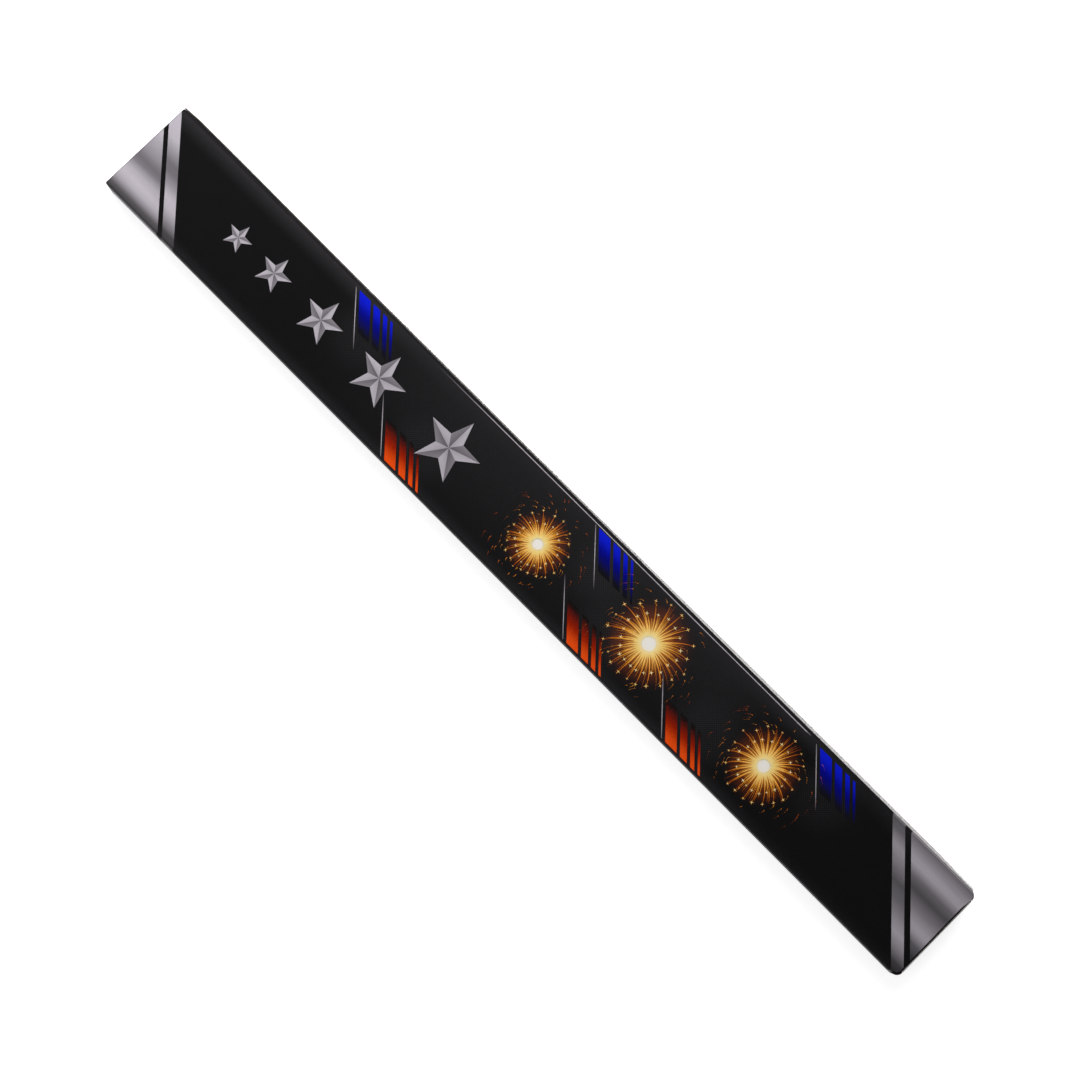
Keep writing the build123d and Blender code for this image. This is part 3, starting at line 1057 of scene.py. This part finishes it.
def trail(ink, middle, angle, start, reach, width, radius, layer):
    """A spark's trail: it thins towards its tip and droops a little. Gives the place of the tip."""
    rungs, tones = [], []
    for share in evenly(0.0, 1.0, TRAIL_STEPS):
        along = start + (reach - start) * share
        turn = angle - DROOP * cos(angle) * share ** 2
        heading = Vector((cos(turn), sin(turn)))
        half = width * (1 - TRAIL_TAPER * share) / 2
        spot = middle + heading * along
        beside = Vector((-heading.y, heading.x)) * half
        rungs.append([front_spot(*(spot - beside)), front_spot(*(spot + beside))])
        tones.append(min(1.0, along / radius))
    ink.strip(rungs, tones, layer)
    return spot


def twinkle(ink, spot, radius, turn, tone):
    """A little four-pointed star."""
    ring = star_ring(spot, 4, radius, TWINKLE_HOLLOW * radius, turn)
    faces = [(8, k, (k + 1) % 8) for k in range(8)]
    ink.shape([*ring, front_spot(*spot)], faces, [tone] * 8 + [0.0], layer=3)


def burst(ink, x, y, radius, draw):
    """A firework flower: long and short trails in turn, tipped with stars, and hairs and sparks between."""
    middle = Vector((x, y))
    for k in range(TRAILS):
        angle = 2 * pi * (k + draw.uniform(*TRAIL_TURNS)) / TRAILS
        long, tone = (LONG_TRAIL, LONG_TONE) if k % 2 else (SHORT_TRAIL, SHORT_TONE)
        reach = radius * long * draw.uniform(*TRAIL_VARIES)
        tip = trail(ink, middle, angle, TRAIL_START * radius, reach, draw.uniform(*TRAIL_WIDTH), radius, 3)
        twinkle(ink, tip, draw.uniform(*TIP_STAR) * radius, angle, tone)
    for _ in range(HAIRS):
        angle = draw.uniform(0, 2 * pi)
        reach = radius * draw.uniform(*HAIR_REACH)
        trail(ink, middle, angle, HAIR_START * radius, reach, HAIR_WIDTH, radius, 2)
    for _ in range(SPARKS):
        angle, reach = draw.uniform(0, 2 * pi), radius * draw.uniform(*SPARK_RING)
        length = draw.uniform(*SPARK_LENGTH)
        if abs(y + reach * sin(angle)) < FRONT_HIGH.y - SPARK_MARGIN:
            trail(ink, middle, angle, reach, reach + length, SPARK_WIDTH, SPARK_FADE * radius, 2)


def gold_bursts():
    ink = Ink()
    draw = random.Random(40)
    for x, y, radius in BURST_PLACES:
        burst(ink, x, y, radius, draw)
    ink.piece("burst_print", SPARK_INK)


BAR_WIDTHS, BAR_GAP, BAR_STEP = (6.0, 3.6, 2.2, 1.2), 1.7, 0.6
SEAM_MARGIN = 1.3
HAIRLINE, HAIRLINE_REACH, HAIRLINE_START = 0.42, 1.5 * BAR_REACH, 0.12


def bar(ink, x, width, edge_y, tip_y, tone_at):
    """A slanted bar from a long fold to its tip. tone_at takes the share of the way along it."""
    rungs, tones = [], []
    for y in spread(edge_y, tip_y, BAR_STEP):
        left = x - LEAN * (y - edge_y)
        rungs.append([front_spot(left, y), front_spot(left + width, y)])
        tones.append(tone_at((y - edge_y) / (tip_y - edge_y)))
    ink.strip(rungs, tones)


def hairline_tone(share):
    """A hairline fades at both ends."""
    return sin(pi * min(1.0, HAIRLINE_START + (1 - HAIRLINE_START) * share))


def coloured_bars():
    """Groups of bars that start bright at a long fold and fade across the front, a hairline beside each."""
    hairlines = Ink()
    for name, material, edge_y, inward, places in (
        ("blue_print", BLUE_INK, FRONT_HIGH.y - SEAM_MARGIN, -1, BLUE_PLACES),
        ("orange_print", ORANGE_INK, FRONT_LOW.y, 1, ORANGE_PLACES),
    ):
        ink = Ink()
        tip_y, line_tip_y = edge_y + inward * BAR_REACH, edge_y + inward * HAIRLINE_REACH
        for x in places:
            bar(hairlines, x - BAR_GAP - HAIRLINE, HAIRLINE, edge_y, line_tip_y, hairline_tone)
            for width in BAR_WIDTHS:
                bar(ink, x, width, edge_y, tip_y, lambda share: share)
                x += width + BAR_GAP
        ink.piece(name, material)
    hairlines.piece("hairline_print", SILVER_INK)


# Sparklers

COAT_SIDES, WIRE_SIDES = 28, 18
COAT_BULGE, COAT_SHOULDER, COAT_RUNOUT = 9.0, 2.5, 4.0
COAT_THIN, COAT_LIP = 2.0, 1.15
COAT_STEP, COAT_END_STEPS = 0.45, 8
# Lumps and grit of the coat: length along it, size round it and height. Its very tip is smooth
COAT_ROUGHNESS, SMOOTH_TIP = ((5.0, 2.4, 0.10), (0.7, 0.45, 0.055)), 1.5
# Stations of a wire's bevelled ends and the slope there, its spacing, and how long and how far it sways
WIRE_ENDS, WIRE_BEVEL, WIRE_STEP = (0.0, 0.12, 0.3), 0.8, 2.0
SWAY_LENGTH, SWAY_Y, SWAY_Z = 60.0, 0.05, 0.04


def turned(name, stations, sides, axis_at, radius_at, material, body, slot, node):
    """A round piece along X, closed at both ends. Its radius may change with x and with the angle."""
    points, faces = [], []
    for x in stations:
        y, z = axis_at(x)
        for k in range(sides):
            angle = 2 * pi * k / sides
            radius = radius_at(x, angle)
            points.append((x, y + radius * cos(angle), z + radius * sin(angle)))
    for i in range(len(stations) - 1):
        for k in range(sides):
            a, b = i * sides + k, i * sides + (k + 1) % sides
            faces.append((a, b, b + sides, a + sides))
    last = (len(stations) - 1) * sides
    faces.append(tuple(reversed(range(sides))))
    faces.append(tuple(range(last, last + sides)))
    add_piece(name, points, faces, [material], body, (node,))


def sparkler(number):
    body = f"sparkler_{number}"
    coat_node, wire_node = f"sparkler_coat_{number}", f"sparkler_wire_{number}"
    low, high = node_box(coat_node)
    centre = (low + high) / 2
    full = (high.z - low.z) / 2
    wire_low, wire_high = node_box(wire_node)
    wire_centre = (wire_low + wire_high) / 2
    wire_radius = (wire_high.z - wire_low.z) / 2

    def profile(x):
        """Coat radius: a domed tip, the drop that gathers there, a thinner body and a run-out."""
        past = x - low.x
        if past < full:
            return sqrt(max(0.0, full ** 2 - (full - past) ** 2))
        radius = full + (COAT_THIN - full) * eased(past - full - COAT_BULGE, 0.0, COAT_SHOULDER)
        left = high.x - x
        if left < COAT_RUNOUT:
            radius = COAT_LIP + (radius - COAT_LIP) * sqrt(max(0.0, left / COAT_RUNOUT))
        return radius

    def coat_radius(x, angle):
        around = Vector((cos(angle) * full, sin(angle) * full, number * 13.0))
        rough = 0.0
        for length, size, height in COAT_ROUGHNESS:
            rough += noise.noise(Vector((x / length, 0, 0)) + around / size) * height
        return max(0.02, profile(x) + rough * min(1.0, (x - low.x) / SMOOTH_TIP))

    shares = evenly(0.0, 1.0, COAT_END_STEPS)
    stations = [low.x + full * (1 - cos(pi / 2 * share)) for share in shares[:-1]]
    stations += spread(low.x + full, high.x - COAT_RUNOUT, COAT_STEP)
    stations += [high.x - COAT_RUNOUT * (1 - share) ** 2 for share in shares[1:]]
    turned(
        f"coat_{number}", stations, COAT_SIDES, lambda x: (centre.y, centre.z), coat_radius, COAT, body,
        "coat", coat_node,
    )

    def wire_axis(x):
        sway = Vector((x / SWAY_LENGTH, number * 7.0, 0.0))
        aside, up = noise.noise(sway), noise.noise(sway + Vector((0, 0, 9.0)))
        return wire_centre.y + SWAY_Y * aside, wire_centre.z + SWAY_Z * up

    def wire_radius_at(x, angle):
        left = min(wire_high.x - x, x - wire_low.x)
        return wire_radius - max(0.0, WIRE_ENDS[-1] - left) * WIRE_BEVEL

    stations = [wire_low.x + e for e in WIRE_ENDS] + spread(wire_low.x + 1, wire_high.x - 1, WIRE_STEP)
    stations += [wire_high.x - e for e in reversed(WIRE_ENDS)]
    turned(
        f"wire_{number}", stations, WIRE_SIDES, wire_axis, wire_radius_at, WIRE, body, "wire", wire_node,
    )


# Stage, light and camera

# How the stage's own glow rises from the object outwards, between two distances in metres
STAGE_FADE, STAGE_GLOW = (0.3, 2.2), (0.78, 0.98)


def stage_material():
    """Pale studio floor and wall, white to the camera and still shaded where the object shades it."""
    shader = Shader("pale_stage")
    shader.done((0.82, 0.82, 0.82), 0.9, gloss=0.1)
    rays = shader.node("ShaderNodeLightPath")
    seen = shader.math("MAXIMUM", rays["Is Camera Ray"], rays["Is Glossy Ray"])
    seen = shader.math("MAXIMUM", seen, rays["Is Transmission Ray"])
    level = shader.between(shader.distance_to((0.0, 0.0, 0.0)), *STAGE_FADE, *STAGE_GLOW)
    glow = shader.node("ShaderNodeEmission", {"Strength": shader.math("MULTIPLY", seen, level)})[0]
    both = shader.node("ShaderNodeAddShader", {0: shader.surface.outputs[0], 1: glow})[0]
    feed(shader.tree.nodes["Material Output"].inputs["Surface"], both)
    return shader.material


def studio_floor():
    """Round floor that sweeps up into a low wall."""
    reach, cove, height, sides, floor_z = 3000.0, 500.0, 1700.0, 96, -0.05
    profile = [(reach - cove, floor_z)]
    for turn in evenly(0.0, pi / 2, 12)[1:]:
        profile.append((reach - cove + cove * sin(turn), floor_z + cove * (1 - cos(turn))))
    profile.append((reach, height))
    points = [(0.0, 0.0, floor_z)]
    for radius, z in profile:
        for k in range(sides):
            angle = 2 * pi * k / sides
            points.append((radius * cos(angle), radius * sin(angle), z))
    faces = [(0, 1 + k, 1 + (k + 1) % sides) for k in range(sides)]
    for ring in range(len(profile) - 1):
        base = 1 + ring * sides
        for k in range(sides):
            a, b = base + k, base + (k + 1) % sides
            faces.append((a, a + sides, b + sides, b))
    floor = put("studio_floor", smooth_mesh("studio_floor", points, faces, [stage_material()]))


# Soft boxes: place, width, height and power
LAMPS = {
    "key_lamp": ((-430, 520, 430), 1300, 400, 10.9),
    "fill_lamp": ((-100, -650, 900), 700, 700, 1.6),
}
SKY_STRENGTH = 0.12


def lamp(name, spot, wide, tall, power):
    """A soft box aimed at the carton."""
    data = bpy.data.lights.new(name, "AREA")
    data.shape = "RECTANGLE"
    data.size, data.size_y, data.energy = wide * MM, tall * MM, power
    made = put(name, data)
    made.location = Vector(spot) * MM
    made.rotation_euler = (-Vector(spot)).to_track_quat("-Z", "Y").to_euler()
    made.visible_camera = False


def studio_light():
    for name, settings in LAMPS.items():
        lamp(name, *settings)
    world = bpy.data.worlds.new("studio_world")
    bpy.context.scene.world = world
    world.use_nodes = True
    sky = world.node_tree.nodes["Background"].inputs
    sky["Color"].default_value = (1.0, 1.0, 1.0, 1.0)
    sky["Strength"].default_value = SKY_STRENGTH


def photo_camera():
    """Nearly overhead, tilted towards the tail and turned so that the carton lies on the diagonal."""
    towards = Vector((sin(TILT_TO_TAIL), -sin(TILT_TO_PLAIN_SIDE), 0.0))
    towards.z = sqrt(1 - towards.length_squared)
    level = (-towards).cross(Vector((0, 1, 0))).normalized()
    upright = level.cross(-towards)
    right = level * cos(ROLL) + upright * sin(ROLL)
    up = upright * cos(ROLL) - level * sin(ROLL)
    data = bpy.data.cameras.new("photo_camera")
    data.lens, data.sensor_width = LENS, SENSOR
    camera = put("photo_camera", data)
    turn = Matrix((right, up, towards)).transposed().to_4x4()
    camera.matrix_world = Matrix.Translation((AIM + towards * DISTANCE) * MM) @ turn
    bpy.context.scene.camera = camera


front_panel()
tail_corner("front_corner_plain_side", -1, BLACK_INK)
tail_corner("front_corner_seam_side", 1, CORNER_SILVER)
back_panel()
wall("plain_side_board", "plain_side_panel", ("plain_fold", "plain_wall", "plain_foot"))
wall("seam_side_board", "seam_side_panel", ("seam_foot", "seam_wall"))
glue_flap()
edge_fibres()
edge_burr()
for end, outward in ENDS.items():
    closure(end, outward)
for end, outward in ENDS.items():
    tongue(end, outward)
for side in ("plain", "seam"):
    for end, outward in ENDS.items():
        dust_flap(end, side, outward)
silver_ends()
silver_stars()
gold_bursts()
coloured_bars()
for number in range(1, 9):
    sparkler(number)

studio_floor()
studio_light()
photo_camera()
bpy.context.scene.view_settings.view_transform = "Standard"
